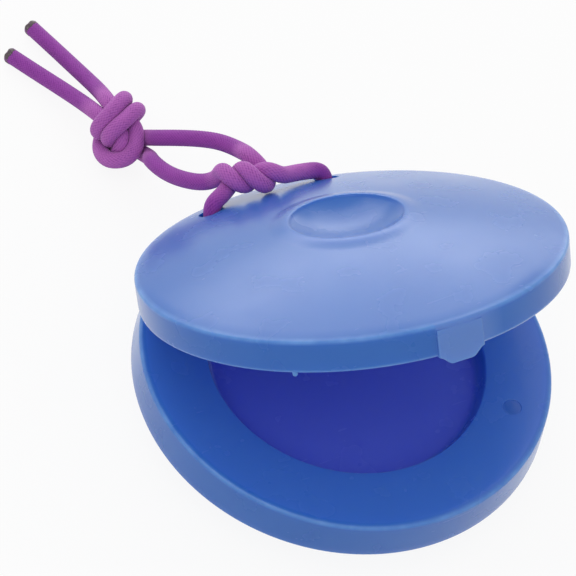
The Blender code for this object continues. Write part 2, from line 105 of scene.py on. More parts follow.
pivotReach = shell["rim"] - heel["pivotInset"]
holeReach = pivotReach + heel["holeSetback"]
pitRadius = shell["rim"] - shell["ringWidth"]
openAngle = math.radians(heel["openDegrees"])
halfOpen = openAngle / 2
hingeY = pivotReach + heel["gap"] / 2 * math.sin(halfOpen)
hingeZ = heel["gap"] / 2 * math.cos(halfOpen)
restHeight = shell["lowerBand"] + shell["crownRise"]
lowerReach = shell["rim"] + shell["lowerFlare"]
heelY = (
    hingeY
    + (shell["rim"] - shell["bandFillet"] - hingeY) * math.cos(openAngle)
    + (shell["upperBand"] - shell["bandFillet"] + hingeZ) * math.sin(openAngle)
    + shell["bandFillet"]
)
lowerY = -(max(heelY, lowerReach) - lowerReach) / 2


def lowerFrame():
    return Matrix.Translation((0, lowerY, restHeight))


def upperFrame():
    turn = Matrix.Rotation(math.pi, 4, "Y") @ Matrix.Rotation(openAngle, 4, "X")
    hinge = Matrix.Translation((0, lowerY + hingeY, restHeight + hingeZ)) @ turn
    return hinge @ Matrix.Translation((0, -hingeY, -hingeZ))


def socketName(word):
    # fromMin stands for From Min, specularIORLevel for Specular IOR Level
    split = re.sub(r"(?<=[a-z])(?=[A-Z])|(?<=[A-Z])(?=[A-Z][a-z])", " ", word)
    return split[0].upper() + split[1:]


def feed(target, value):
    if isinstance(value, bpy.types.NodeSocket):
        target.id_data.links.new(value, target)
    else:
        target.default_value = value


def give(made, *numbered, **named):
    # a node's inputs by number or by name, each a value or another node's socket
    for target, value in zip(made.inputs, numbered):
        feed(target, value)
    for word, value in named.items():
        feed(made.inputs[socketName(word)], value)
    return made


def node(tree, kind, *numbered, setting=None, **named):
    made = tree.nodes.new(kind)
    for label, value in (setting or {}).items():
        setattr(made, label, value)
    return give(made, *numbered, **named)


def treeOf(*values):
    # a socket knows the tree that it is in
    return next(value.id_data for value in values if isinstance(value, bpy.types.NodeSocket))


def maths(operation, *values):
    return node(treeOf(*values), "ShaderNodeMath", *values, setting={"operation": operation}).outputs[0]


def chained(operation, first, *others):
    # more than two values, such as the product of some masks
    for other in others:
        first = maths(operation, first, other)
    return first


def times(*values):
    return chained("MULTIPLY", *values)


def newTree(name, kind, given, results):
    # a node group with its named inputs and outputs
    tree = bpy.data.node_groups.new(name, kind)
    for side, sockets in (("INPUT", given), ("OUTPUT", results)):
        for label, socketKind in sockets.items():
            tree.interface.new_socket(label, in_out=side, socket_type=f"NodeSocket{socketKind}")
    return tree, node(tree, "NodeGroupInput").outputs


def spreadOut(tree):
    for index, item in enumerate(tree.nodes):
        item.location = (index // 5 * 220, index % 5 * -240)


def closeTree(tree, **results):
    node(tree, "NodeGroupOutput", **results)
    spreadOut(tree)
    return tree


def closeShape(tree, shape, material, result):
    real = node(tree, "GeometryNodeRealizeInstances", geometry=shape).outputs[0]
    finish = node(tree, "GeometryNodeSetMaterial", geometry=real, material=material).outputs[0]
    return closeTree(tree, **{result: finish})


def newObject(name, mesh):
    obj = bpy.data.objects.new(name, mesh)
    work.objects.link(obj)
    return obj


def fromShape(name, shape):
    mesh = bpy.data.meshes.new(name)
    shape.to_mesh(mesh)
    shape.free()
    return newObject(name, mesh)


def settle(obj):
    # the modifiers' result as a plain mesh
    graph = bpy.context.evaluated_depsgraph_get()
    mesh = bpy.data.meshes.new_from_object(obj.evaluated_get(graph))
    obj.modifiers.clear()
    obj.data = mesh
    return obj


def grown(obj, tree, **values):
    # the object through a node tree, whose inputs a modifier knows by identifier
    modifier = obj.modifiers.new(tree.name, "NODES")
    modifier.node_group = tree
    named = {socketName(word): value for word, value in values.items()}
    for item in tree.interface.items_tree:
        if item.item_type == "SOCKET" and item.in_out == "INPUT" and item.name in named:
            modifier[item.identifier] = named[item.name]
    return settle(obj)


def arc(centre, radius, start, end, steps):
    turns = [math.radians(start + (end - start) * step / steps) for step in range(steps + 1)]
    return [(centre[0] + radius * math.cos(turn), centre[1] + radius * math.sin(turn)) for turn in turns]


def straight(first, last, steps):
    return [
        (first[0] + (last[0] - first[0]) * step / steps, first[1] + (last[1] - first[1]) * step / steps)
        for step in range(1, steps)
    ]


def crownHeight(radius, band):
    foot = shell["lipRadius"] + shell["lipSpread"]
    share = (shell["rim"] - radius) / (shell["rim"] - foot)
    rise = shell["crownRise"] - shell["lipStep"]
    return band + rise * share + 4 * shell["crownBulge"] * share * (1 - share)


def shellProfile(band, flare):
    # (r, z) from the middle of the pit, out over the ring and rim, and back over the crown to the dish
    rim, face, edge, soft = shell["rim"], shell["faceFillet"], shell["crownEdge"], shell["pitFillet"]
    points = [(0, -shell["pitDepth"])]
    corner = (pitRadius - shell["pitDraft"] - soft, -shell["pitDepth"])
    points += straight(points[0], corner, 7)
    points += arc((corner[0], corner[1] + soft), soft, -90, 0, 7)
    lip = shell["pitLip"]
    points += arc((pitRadius + lip, -shell["ringDrop"] - lip), lip, 170, 97, 4)
    land = (rim - shell["land"], 0)
    points += straight(points[-1], land, 8)
    points += [(land[0] + out, up) for out, up in shell["landCorner"]]
    points += arc((rim - face, -face), face, 90, 0, 7)
    inner = rim + flare - edge
    points += straight(points[-1], (rim + flare, -band + edge), 5)
    points += arc((inner, -band + edge), edge, 0, -75, 8)
    foot = shell["lipRadius"] + shell["lipSpread"] + shell["lipBlend"]
    for radius in np.linspace(inner, foot, 23)[1:]:
        points.append((radius, -crownHeight(radius, band)))
    # the step up to the lip is soft, its top is rolled over into the dish
    lip, top = band + shell["crownRise"], shell["lipRadius"] + shell["lipTop"]
    start = -points[-1][1]
    for step in range(1, 9):
        share = step / 9
        ease = share * share * (3 - 2 * share) * 0.55 + share * 0.45
        points.append((foot + (top - foot) * share, -(start + (lip - start) * ease)))
    roll = shell["lipRound"]
    points += arc((top - shell["rollInset"], -lip + roll), roll, -90, -shell["rollDegrees"], 6)
    dish, height = points[-1]
    depth = shell["dishDepth"]
    sphere = (dish**2 + depth**2) / (2 * depth)
    half = math.degrees(math.asin(dish / sphere))
    points += arc((0, height + depth - sphere), sphere, 90 - half, 90, 20)[1:-1]
    return [*points, (0, height + depth)]


def turnedTree():
    # a profile turned about Z, as a grid with a row for each of its points
    tree, given = newTree(
        "turnedOnAxis", "GeometryNodeTree",
        {"Profile": "Geometry", "Steps": "Int", "Weld": "Float", "Material": "Material"},
        {"Turned": "Geometry"},
    )
    count = node(tree, "GeometryNodeAttributeDomainSize", geometry=given["Profile"]).outputs["Point Count"]
    columns = maths("ADD", given["Steps"], 1.0)
    grid = node(tree, "GeometryNodeMeshGrid", verticesX=count, verticesY=columns).outputs["Mesh"]
    index = node(tree, "GeometryNodeInputIndex").outputs[0]
    row = maths("FLOOR", maths("DIVIDE", maths("ADD", index, 0.5), columns))
    column = maths("SUBTRACT", index, times(row, columns))
    angle = maths("DIVIDE", times(column, 2 * math.pi), given["Steps"])
    sample = node(
        tree, "GeometryNodeSampleIndex", setting={"data_type": "FLOAT_VECTOR"}, geometry=given["Profile"],
        value=node(tree, "GeometryNodeInputPosition").outputs[0], index=row,
    )
    reach, _, height = node(tree, "ShaderNodeSeparateXYZ", sample.outputs["Value"]).outputs
    flat = [times(reach, maths(wave, angle)) for wave in ("COSINE", "SINE")]
    point = node(tree, "ShaderNodeCombineXYZ", *flat, height).outputs[0]
    moved = node(tree, "GeometryNodeSetPosition", geometry=grid, position=point).outputs[0]
    weld = node(tree, "GeometryNodeMergeByDistance", geometry=moved, distance=given["Weld"]).outputs[0]
    return closeShape(tree, weld, given["Material"], "turned")


turnTree = turnedTree()


def turned(name, profile, steps, material=None):
    mesh = bpy.data.meshes.new(name)
    mesh.from_pydata([(r, 0, z) for r, z in profile], [(i, i + 1) for i in range(len(profile) - 1)], [])
    obj = grown(newObject(name, mesh), turnTree, steps=steps, weld=shell["weld"], material=material)
    shape = bmesh.new()
    shape.from_mesh(obj.data)
    bmesh.ops.recalc_face_normals(shape, faces=shape.faces)
    shape.to_mesh(obj.data)
    shape.free()
    return obj


def prism(name, outline, travel):
    shape = bmesh.new()
    face = shape.faces.new([shape.verts.new(point) for point in outline])
    moved = bmesh.ops.extrude_face_region(shape, geom=[face])["geom"]
    verts = [item for item in moved if isinstance(item, bmesh.types.BMVert)]
    bmesh.ops.translate(shape, verts=verts, vec=travel)
    bmesh.ops.recalc_face_normals(shape, faces=shape.faces)
    return fromShape(name, shape)


def combine(obj, operation, others):
    for other in others:
        modifier = obj.modifiers.new(other.name, "BOOLEAN")
        modifier.operation = operation
        modifier.solver = "EXACT"
        modifier.object = other


def heelCutter(name):
    # behind the pivot line each face falls away by half of the opening
    end = shell["rim"] + shell["cutOver"]
    fall = (end - pivotReach) * math.tan(halfOpen)
    profile = [(pivotReach, 0), (end, -fall), (end, shell["cutOver"]), (pivotReach, shell["cutOver"])]
    return prism(name, [(-end, y, z) for y, z in profile], (2 * end, 0, 0))


def holeCutters(name, side, band):
    # a straight hole, and a round-over where it comes out through the sloping crown
    radius, soft = heel["holeRadius"], heel["holeRound"]
    low, high = -band - shell["crownRise"], shell["cutOver"]
    place = (side * heel["holeSpread"], holeReach)
    bore = turned(name, [(0, low), (radius, low), (radius, high), (0, high)], heel["holeSteps"])
    bore.data.transform(Matrix.Translation((*place, 0)))
    inner, top = radius * heel["flareInset"], soft + heel["flareUp"]
    profile = [(0, top), (inner, top), (inner, soft), *arc((radius + soft, soft), soft, 180, 270, 6)]
    profile += [(radius + soft, -heel["flareDown"]), (0, -heel["flareDown"])]
    flare = turned(f"{name}Edge", profile, heel["holeSteps"])
    reach = math.hypot(*place)
    step = heel["slopeStep"]
    slope = (crownHeight(reach - step, band) - crownHeight(reach + step, band)) / (2 * step)
    outward = Vector((place[0] / reach * slope, place[1] / reach * slope, 1)).normalized()
    turn = Vector((0, 0, 1)).rotation_difference(outward).to_matrix().to_4x4()
    flare.data.transform(Matrix.Translation((*place, -crownHeight(reach, band))) @ turn)
    return [bore, flare]


# the striking nub on the upper shell with its flat pad down the band, and the marks of the mould
nub = {
    "width": 0.0060,
    "tipWidth": 0.0026,
    "height": 0.0011,
    "depth": 0.0034,
    "side": 0.0017,
    "leanIn": 0.00004,
    "leanOut": 0.00024,
    "leanRise": 1.25,
    "shoulder": 0.0004,
    "backFrom": 0.0002,
    "backShare": 0.72,
    "edge": 0.00012,
    "edgeDegrees": 50,
}
marks = {
    "pinRadius": 0.0013,
    "pinDepth": 0.00012,
    "pinInset": 0.0048,
    "pinOver": 0.0006,
    "pinDegrees": -45.5,
    "gateRadius": 0.00038,
    "gateHeight": 0.0004,
    "gateDegrees": -45.0,
}


def nubBody(name):
    # a low bump with soft shoulders, on a pad that leans out a little towards the face
    foot, tip, height = nub["width"] / 2, nub["tipWidth"] / 2, nub["height"]
    low = -shell["upperBand"] + shell["bandFillet"]
    right = [(foot, low), (foot, -nub["shoulder"])]
    for step in range(13):
        share = step / 12
        ease = share * share * (3 - 2 * share)
        right.append((foot + (tip - foot) * share, height * ease))
    outline = right + [(-x, z) for x, z in reversed(right)]
    obj = prism(name, [(x, 0, z) for x, z in outline], (0, nub["depth"], 0))
    for vert in obj.data.vertices:
        if vert.co.y < nub["depth"] / 2:
            share = (vert.co.z - low) / (height - low)
            lean = nub["leanIn"] + (nub["leanOut"] - nub["leanIn"]) * min(share * nub["leanRise"], 1)
            vert.co.y = -lean
        elif vert.co.z > nub["backFrom"]:
            vert.co.z *= nub["backShare"]
    turn = Matrix.Rotation(nub["side"] / shell["rim"], 4, "Z")
    obj.data.transform(turn @ Matrix.Translation((0, -shell["rim"], 0)))
    bevel = obj.modifiers.new("Edges", "BEVEL")
    bevel.width = nub["edge"]
    bevel.segments = 3
    bevel.limit_method = "ANGLE"
    bevel.angle_limit = math.radians(nub["edgeDegrees"])
    return settle(obj)


def gateBody(name):
    # where the sprue was broken off
    radius, height = marks["gateRadius"], marks["gateHeight"]
    low = -shell["faceFillet"] - radius
    profile = [(0, low), (radius, low), (radius * 0.95, 0), (radius * 0.8, height * 0.75)]
    profile += [(radius * 0.55, height), (0, height * 0.82)]
    obj = turned(name, profile, 20)
    angle = math.radians(marks["gateDegrees"])
    reach = shell["rim"] - radius
    obj.data.transform(Matrix.Translation((reach * math.cos(angle), reach * math.sin(angle), 0)))
    return obj


ringRun = shell["rim"] - shell["land"] - pitRadius


def pinPlace():
    # on the sloping ring
    reach = shell["rim"] - marks["pinInset"]
    height = -shell["ringDrop"] * (shell["rim"] - shell["land"] - reach) / ringRun
    angle = math.radians(marks["pinDegrees"])
    return reach * math.cos(angle), reach * math.sin(angle), height


def pinCutter(name):
    # the ejector pin's shallow disc, square to the sloping ring
    radius, depth = marks["pinRadius"], marks["pinDepth"]
    profile = [(0, -depth * 0.6), (radius * 0.55, -depth * 0.75), (radius * 0.85, -depth)]
    profile += [(radius * 0.94, -depth), (radius, 0.00002), (radius, marks["pinOver"]), (0, marks["pinOver"])]
    obj = turned(name, profile, 48)
    turn = Matrix.Rotation(math.radians(marks["pinDegrees"]), 4, "Z")
    tilt = Matrix.Rotation(-math.atan2(shell["ringDrop"], ringRun), 4, "Y")
    obj.data.transform(Matrix.Translation(pinPlace()) @ turn @ tilt)
    return obj


def makeShell(name, band, flare, material, adds, cuts, frameOf):
    obj = turned(name, shellProfile(band, flare), shell["steps"], material)
    cutters = [heelCutter(f"{name}Heel")]
    for side, label in ((-1, "Left"), (1, "Right")):
        cutters += holeCutters(f"{name}Hole{label}", side, band)
    cutters += cuts
    combine(obj, "UNION", adds)
    combine(obj, "DIFFERENCE", cutters)
    settle(obj)
    for other in [*adds, *cutters]:
        bpy.data.objects.remove(other, do_unlink=True)
    obj.data.transform(frameOf)
    obj.data.materials.clear()
    obj.data.materials.append(material)
    obj.data.polygons.foreach_set("material_index", [0] * len(obj.data.polygons))
    obj.data.shade_smooth()
    obj.data.set_sharp_from_angle(angle=math.radians(shell["sharpDegrees"]))
    return obj


# The elastic runs through the holes, the half knot, the loop and the big knot to its tails.
cord = {
    "diameter": 0.0022,
    "clearance": 0.0001,
    "holeClearance": 0.00025,
    "spacing": 0.00095,
    "inKnots": 0.92,
    "shown": 1.05,
    "leftLength": 0.1025,
    "rightLength": 0.1165,
}
easing = {"curveSteps": 24, "rounds": 120, "pull": 0.08, "even": 0.35, "neighbours": 4, "held": 3, "taper": 3}
knots = {
    "halfSide": -0.95,
    "halfLift": 1.0,
    "bigOffset": (-3.7, 10.5),
    "bigHeight": 2.3,
    "axis": (0.87, -0.46, 0.17),
    "face": (-0.41, -0.48, 0.78),
}
# all in cord diameters; the knots: along their axis, across it, towards their face
routes = {
    "leftHalf": (
        (-1.95, -1, 0.75), (-1.45, -0.65, 0.4), (-1, -0.2, -0.1), (-0.8, 0.35, -0.35),
        (-0.6, 0.85, 0.05), (-0.25, 0.5, 0.6), (0, 0, 0.75), (0.3, -0.45, 0.5),
        (0.55, -0.65, 0), (0.7, -0.3, -0.5), (0.6, 0.3, -0.65), (0.35, 0.85, -0.5),
        (-0.15, 1.5, -0.3),
    ),
    "rightHalf": (
        (3.2, 0.65, -1.6), (2.5, 0.55, -1.15), (1.95, 0.35, -0.5), (1.5, 0, 0.2), (1.05, 0, 0.65),
        (0.75, 0.4, 0.4), (0.3, 0.45, -0.2), (-0.15, 0.05, -0.35), (-0.5, -0.45, -0.1),
        (-0.9, -0.35, 0.45), (-1.1, 0.15, 0.6), (-1.2, 0.7, 0.3), (-1.4, 0.85, -0.3),
        (-1.7, 0.4, -0.6), (-2, 0, -0.5),
    ),
    # loop: share of the way to the big knot, then to the side and up
    "upperLoop": (
        (0.25, 1.83, 0.38), (0.37, 1.86, 0.49), (0.51, 1.55, 0.35), (0.66, 1.12, 0.04), (0.76, 0.77, -0.19),
    ),
    "lowerLoop": (
        (0.19, -1, -0.49), (0.28, -1.24, -0.7), (0.4, -1.28, -0.93),
        (0.55, -1.07, -1.08), (0.66, -0.8, -0.85),
    ),
    "underLoop": (0.85, 0.55, 0.25, 0),
    # the pair's middle, and from there to the right strand
    "bigKnot": (
        (1.9, -1.05, -0.8, 0, -0.6, 0), (1, -0.8, -0.95, 0, -0.45, -0.2),
        (0.2, -0.5, -0.95, 0, 0.1, -0.48), (-0.55, -0.4, -0.8, -0.25, 0.25, -0.3),
        (-0.95, -0.6, 0.05, -0.35, 0.25, 0.2), (-0.7, -0.3, 0.9, -0.38, 0.25, 0.1),
        (0, 0.65, 1.3, -0.4, 0.3, 0), (0.6, 1.35, 0.95, -0.42, 0.35, 0),
        (0.8, 1.6, 0.1, -0.42, 0.35, 0), (0.35, 1.1, -1, -0.4, 0.27, 0),
        (-0.3, 0.1, -1.6, -0.4, 0.27, 0), (-0.8, -0.9, -1.25, -0.4, 0.15, 0.1),
        (-0.85, -1.4, -0.3, -0.36, -0.15, 0.25), (-0.4, -1.65, 0.45, -0.18, -0.4, 0.2),
        (0.35, -1.5, 0.65, 0.2, -0.42, 0.15), (0.85, -0.8, 0.55, 0.44, -0.18, 0.05),
        (0.8, -0.05, 0.3, 0.45, 0.15, 0), (0.3, 0.55, 0, 0.34, 0.34, 0),
        (-0.4, 1.03, -0.1, 0.4, 0.3, 0), (-0.95, 1.45, -0.15, 0.4, 0.36, 0),
    ),
    "leftTail": ((-0.8, 3.24, 1.7), (-1.46, 5.69, 1.05), (-2.29, 7.89, 0.68), (-3.27, 10.02, 0.56)),
    "rightTail": ((0.42, 3.91, 2), (0.18, 6.92, 1.15), (-0.24, 9.55, 0.7), (-0.86, 12.01, 0.56)),
}


def between(first, last, start, end, at):
    return (first * (end - at) + last * (at - start)) / (end - start)


def catmullRom(four, share):
    roots = np.linalg.norm(np.diff(four, axis=0), axis=1) ** 0.5
    t0, t1, t2, t3 = np.concatenate([[0], np.cumsum(roots)])
    at = t1 + (t2 - t1) * share
    a1 = between(four[0], four[1], t0, t1, at)
    a2 = between(four[1], four[2], t1, t2, at)
    a3 = between(four[2], four[3], t2, t3, at)
    return between(between(a1, a2, t0, t2, at), between(a2, a3, t1, t3, at), t1, t2, at)


def smoothRoute(points, spacing, steps):
    # an evenly spaced curve through the points, and each of its points' place in the list
    points = np.asarray(points, float)
    ends = np.vstack([2 * points[0] - points[1], points, 2 * points[-1] - points[-2]])
    path = [
        catmullRom(ends[index : index + 4], step / steps)
        for index in range(len(points) - 1)
        for step in range(steps)
    ]
    path = np.array([*path, points[-1]])
    keys = np.arange(len(path)) / steps
    run = np.concatenate([[0], np.cumsum(np.linalg.norm(np.diff(path, axis=0), axis=1))])
    stops = np.linspace(0, run[-1], int(round(run[-1] / spacing)) + 1)
    even = np.stack([np.interp(stops, run, path[:, axis]) for axis in range(3)], 1)
    return even, np.interp(stops, run, keys)


def roomOverCrown(clearance):
    run = shell["rim"] - shell["lipRadius"] - shell["lipSpread"]
    slope = math.atan2(shell["crownRise"] - shell["lipStep"], run)
    return (cord["diameter"] / 2 + clearance) / math.cos(slope)


def placed(matrix, points):
    return np.array([tuple(matrix @ Vector(point)) for point in points])


def offCrown(points):
    turn = np.array(upperFrame())
    local = (points - turn[:3, 3]) @ turn[:3, :3]
    radius = np.hypot(local[:, 0], local[:, 1])
    lowest = crownHeight(radius, shell["upperBand"]) + roomOverCrown(cord["clearance"])
    lack = np.where(radius < shell["rim"], np.maximum(lowest + local[:, 2], 0), 0)
    return points - lack[:, None] * turn[:3, 2]


def drawnTight(runs, held, thickness):
    # the runs drawn tight by a fading pull, with contacts kept a thickness apart; held points stay in place
    count = [len(run) for run in runs]
    strand = np.repeat(np.arange(len(runs)), count)
    place = np.concatenate([np.arange(number) for number in count])
    free = ~np.concatenate(held)
    points = np.vstack(runs)
    middle = free.copy()
    middle[[0, -1]] = False
    before = np.flatnonzero(middle) - 1
    after = before + 2
    inner = before + 1
    nearAlong = (strand[:, None] == strand[None]) & (abs(place[:, None] - place[None]) < easing["neighbours"])
    half = np.concatenate(thickness) * cord["diameter"] / 2
    apart = half[:, None] + half[None] + cord["clearance"] / 2
    weight = np.where(free[None, :], 0.5, 1.0)
    table = cord["diameter"] / 2 + cord["clearance"]
    for left in range(easing["rounds"], 0, -1):
        pull = easing["pull"] * left / easing["rounds"]
        points[inner] += pull * ((points[before] + points[after]) / 2 - points[inner])
        for _ in range(3):
            offset = points[:, None] - points[None]
            distance = np.linalg.norm(offset, axis=2) + 1e-12
            lack = np.where((distance < apart) & ~nearAlong, (apart - distance) * weight, 0)
            push = (offset / distance[:, :, None] * lack[:, :, None]).sum(1)
            push /= np.sqrt(np.maximum((lack > 0).sum(1), 1))[:, None]
            points[free] += push[free]
            points[free] = offCrown(points[free])
            points[free, 2] = np.maximum(points[free, 2], table)
        ahead = points[after] - points[inner]
        behind = points[inner] - points[before]
        along = ahead + behind
        along /= np.linalg.norm(along, axis=1)[:, None]
        slack = np.linalg.norm(ahead, axis=1) - np.linalg.norm(behind, axis=1)
        points[inner] += easing["even"] * slack[:, None] * along
    return np.split(points, np.cumsum(count)[:-1])


def thicknessIn(keys, first, last):
    inside = (keys > first) & (keys < last)
    order = np.arange(len(keys))
    start, end = order[inside][[0, -1]]
    depth = np.minimum(order - start, end - order) + 1
    return 1 - (1 - cord["inKnots"]) * np.clip(depth / easing["taper"], 0, 1)


def tightened(strands, spans):
    runs, held, thickness, windows = [], [], [], []
    for (points, keys, thick), (first, last) in zip(strands, spans):
        thick[:] = np.minimum(thick, thicknessIn(keys, first, last))
        low = max(int(np.searchsorted(keys, first)) - easing["held"], 0)
        high = min(int(np.searchsorted(keys, last)) + easing["held"], len(points))
        windows.append((low, high))
        outside = (keys[low:high] < first) | (keys[low:high] > last)
        outside[[0, -1]] = True
        held.append(outside)
        runs.append(points[low:high].copy())
        thickness.append(thick[low:high])
    for (points, _, _), (low, high), run in zip(strands, windows, drawnTight(runs, held, thickness)):
        points[low:high] = run


def holeRun(band):
    # (side, lift) from inside the right hole to just over the hole's inner edge
    plane = (holeReach - hingeY) * math.tan(halfOpen) - hingeZ
    start = plane + cord["diameter"] / 2 * math.tan(halfOpen) + heel["gap"] / 2
    wall = heel["holeSpread"] - heel["holeRadius"]
    middle = wall + cord["holeClearance"] + cord["diameter"] / 2
    bend = middle - wall
    edge = crownHeight(math.hypot(wall, holeReach), band)
    turn = [
        (wall + bend * math.cos(angle), edge + bend * math.sin(angle))
        for angle in (math.radians(degrees) for degrees in (0, 30, 60))
    ]
    return [(middle, start), (middle, (start + edge) / 2)] + turn


def underLoopRoute():
    right = [(side, holeReach, -lift) for side, lift in holeRun(shell["lowerBand"])]
    stand = roomOverCrown(2 * cord["clearance"])
    for share in routes["underLoop"]:
        side = (heel["holeSpread"] - heel["holeRadius"]) * share
        height = crownHeight(math.hypot(side, holeReach), shell["lowerBand"])
        right.append((side, holeReach, -height - stand))
    left = [(-side, reach, z) for side, reach, z in reversed(right[:-1])]
    return placed(lowerFrame(), right + left)


def strandRoutes():
    wide = cord["diameter"]
    holes = holeRun(shell["upperBand"])
    lift = crownHeight(holeReach, shell["upperBand"]) + knots["halfLift"] * wide
    small = placed(upperFrame(), [(-knots["halfSide"] * wide, holeReach, -lift)])[0]
    axis = Vector(knots["axis"]).normalized()
    aside = Vector(knots["face"]).cross(axis).normalized()
    turn = wide * np.array([axis, aside, axis.cross(aside)])
    halves = []
    for direction, shares in ((-1, routes["leftHalf"]), (1, routes["rightHalf"])):
        run = placed(upperFrame(), [(-direction * side, holeReach, -z) for side, z in holes])
        halves.append(np.vstack([run, small + np.array(shares) @ turn]))
    offset = np.array(knots["bigOffset"]) * wide
    big = np.array([small[0] + offset[0], small[1] + offset[1], knots["bigHeight"] * wide])
    across = np.array([offset[1], -offset[0], 0]) / np.linalg.norm(offset)
    upright = np.array([0, 0, 1])
    loops = [
        [small + way * (big - small) + wide * (x * across + up * upright) for way, x, up in shares]
        for shares in (routes["upperLoop"], routes["lowerLoop"])
    ]
    table = np.array(routes["bigKnot"])
    bigs = [big + (table[:, :3] + way * table[:, 3:]) @ turn for way in (-1, 1)]
    below = np.array([big[0], big[1], 0])
    tails = [below + np.array(shares) * wide for shares in (routes["leftTail"], routes["rightTail"])]
    lines, spans = [], []
    for half, loop, knot, tail in zip(halves, loops, bigs, tails):
        lines.append(np.vstack([half, loop, knot, tail]))
        firstLoop = len(half)
        firstKnot = firstLoop + len(loop)
        firstTail = firstKnot + len(knot)
        spans.append(((len(holes) - 0.5, firstLoop - 0.1), (firstKnot - 0.9, firstTail - 0.1)))
    return lines, spans


# the elastic's braided cover
braid = {
    "around": 72,
    "spacing": 0.00013,
    "curveSteps": 12,
    "softened": 400,
    "softenKnots": 0.1,
    "heldStart": 10,
    "yarns": 17,
    "pitch": 0.00050,
    "relief": 0.00004,
    "contactGap": 0.00002,
    "overlap": 8,
    "plainStart": 20,
    "ownReach": 2.4,
    "standOff": 0.00003,
}


def fineLine(points, thick, loose):
    # the eased line again, close enough together to carry the braid, with its free runs smoothed the most
    line, keys = smoothRoute(points, braid["spacing"], braid["curveSteps"])
    thick = np.interp(keys, np.arange(len(points)), thick)
    depth = (1 - thick) / (1 - cord["inKnots"])
    share = braid["softenKnots"] + (1 - braid["softenKnots"]) * (1 - depth)
    share = np.where((keys > braid["heldStart"]) & loose, share, braid["softenKnots"])
    for _ in range(braid["softened"]):
        line[1:-1] += share[1:-1, None] / 4 * (line[2:] + line[:-2] - 2 * line[1:-1])
    return line, depth


def carriedOver(line, depth):
    # a few points on into the other shell's hole, so that no gap opens in the elastic when the shells close
    further = np.arange(braid["overlap"], 0, -1)[:, None]
    extra = line[0] + (line[0] - line[1]) * further
    return np.vstack([extra, line]), np.concatenate([np.full(len(extra), depth[0]), depth])


def ringFrames(line):
    ahead = np.gradient(line, axis=0)
    ahead /= np.linalg.norm(ahead, axis=1)[:, None]
    side = np.cross(ahead[0], (0, 0, 1.0))
    if np.linalg.norm(side) < 0.1:
        side = np.cross(ahead[0], (1.0, 0, 0))
    sides = []
    for direction in ahead:
        side = side - direction * (side @ direction)
        side = side / np.linalg.norm(side)
        sides.append(side)
    sides = np.array(sides)
    return sides, np.cross(ahead, sides)


def pressed(rings, line, others, reach):
    # where two windings meet, each is pressed flat on the plane between them
    gap = braid["contactGap"] / 2
    for index, centre in enumerate(line):
        towards = others[index] - centre
        distance = np.linalg.norm(towards, axis=1)
        close = distance < 2 * reach
        if not close.any():
            continue
        normal = towards[close] / distance[close][:, None]
        middle = distance[close] / 2 - gap
        for _ in range(3):
            over = (rings[index] - centre) @ normal.T - middle
            worst = over.argmax(1)
            amount = np.maximum(over[np.arange(len(over)), worst], 0)
            rings[index] -= amount[:, None] * normal[worst]
    return rings


def evened(rings, rounds=2):
    # softens the edges of the flats
    for _ in range(rounds):
        around = (np.roll(rings, 1, axis=1) + np.roll(rings, -1, axis=1)) / 2
        rings = rings * 0.6 + around * 0.4
        rings[1:-1] = rings[1:-1] * 0.6 + (rings[2:] + rings[:-2]) * 0.2
    return rings


def clearOf(rings, matrix, band):
    # stays outside the crown and over the table
    turn = np.array(matrix)
    flat = rings.reshape(-1, 3)
    local = (flat - turn[:3, 3]) @ turn[:3, :3]
    radius = np.hypot(local[:, 0], local[:, 1])
    side = np.hypot(abs(local[:, 0]) - heel["holeSpread"], local[:, 1] - holeReach)
    outside = (radius < shell["rim"] - shell["bandFillet"]) & (side > heel["holeRadius"] + heel["holeRound"])
    outside &= local[:, 2] < -band * 0.75
    lowest = crownHeight(radius, band) + braid["standOff"]
    lack = np.where(outside, np.maximum(lowest + local[:, 2], 0), 0)
    flat = flat - lack[:, None] * turn[:3, 2]
    flat[:, 2] = np.maximum(flat[:, 2], braid["standOff"])
    return flat.reshape(rings.shape)


def tubeMesh(name, rings, line, drawn):
    # the rings joined to a closed tube, which also holds the way along it, round it and into the knots
    count, around = rings.shape[:2]
    run = np.concatenate([[0], np.cumsum(np.linalg.norm(np.diff(line, axis=0), axis=1))])
    steps = np.arange(around)
    after = (steps + 1) % around
    here = np.arange(count - 1)[:, None] * around
    ahead = here + around
    faces = np.stack([here + steps, here + after, ahead + after, ahead + steps], 2).reshape(-1, 4).tolist()
    low, high = steps / around, (steps + 1) / around
    alongQuad = np.stack([run[:-1], run[:-1], run[1:], run[1:]], 1)[:, None]
    roundQuad = np.stack([low, high, high, low], 1)[None]
    uvs = np.stack(np.broadcast_arrays(alongQuad, roundQuad), 3).ravel().tolist()
    for step in steps.tolist():
        last = (count - 1) * around
        faces += [(count * around, after[step], step), (count * around + 1, last + step, last + after[step])]
        uvs += [0, low[step], 0, high[step], 0, low[step]]
        uvs += [run[-1], low[step], run[-1], low[step], run[-1], high[step]]
    mesh = bpy.data.meshes.new(name)
    mesh.from_pydata(np.vstack([rings.reshape(-1, 3), line[:1], line[-1:]]).tolist(), [], faces)
    stored = {
        "along": np.concatenate([np.repeat(run, around), [0, run[-1]]]),
        "around": np.concatenate([np.tile(low, count), [0, 0]]),
        "drawn": np.concatenate([np.repeat(drawn, around), drawn[[0, -1]]]),
    }
    for label, values in stored.items():
        mesh.attributes.new(label, "FLOAT", "POINT").data.foreach_set("value", values.astype(np.float32))
    mesh.uv_layers.new(name="cordUV").data.foreach_set("uv", uvs)
    mesh.shade_smooth()
    return mesh


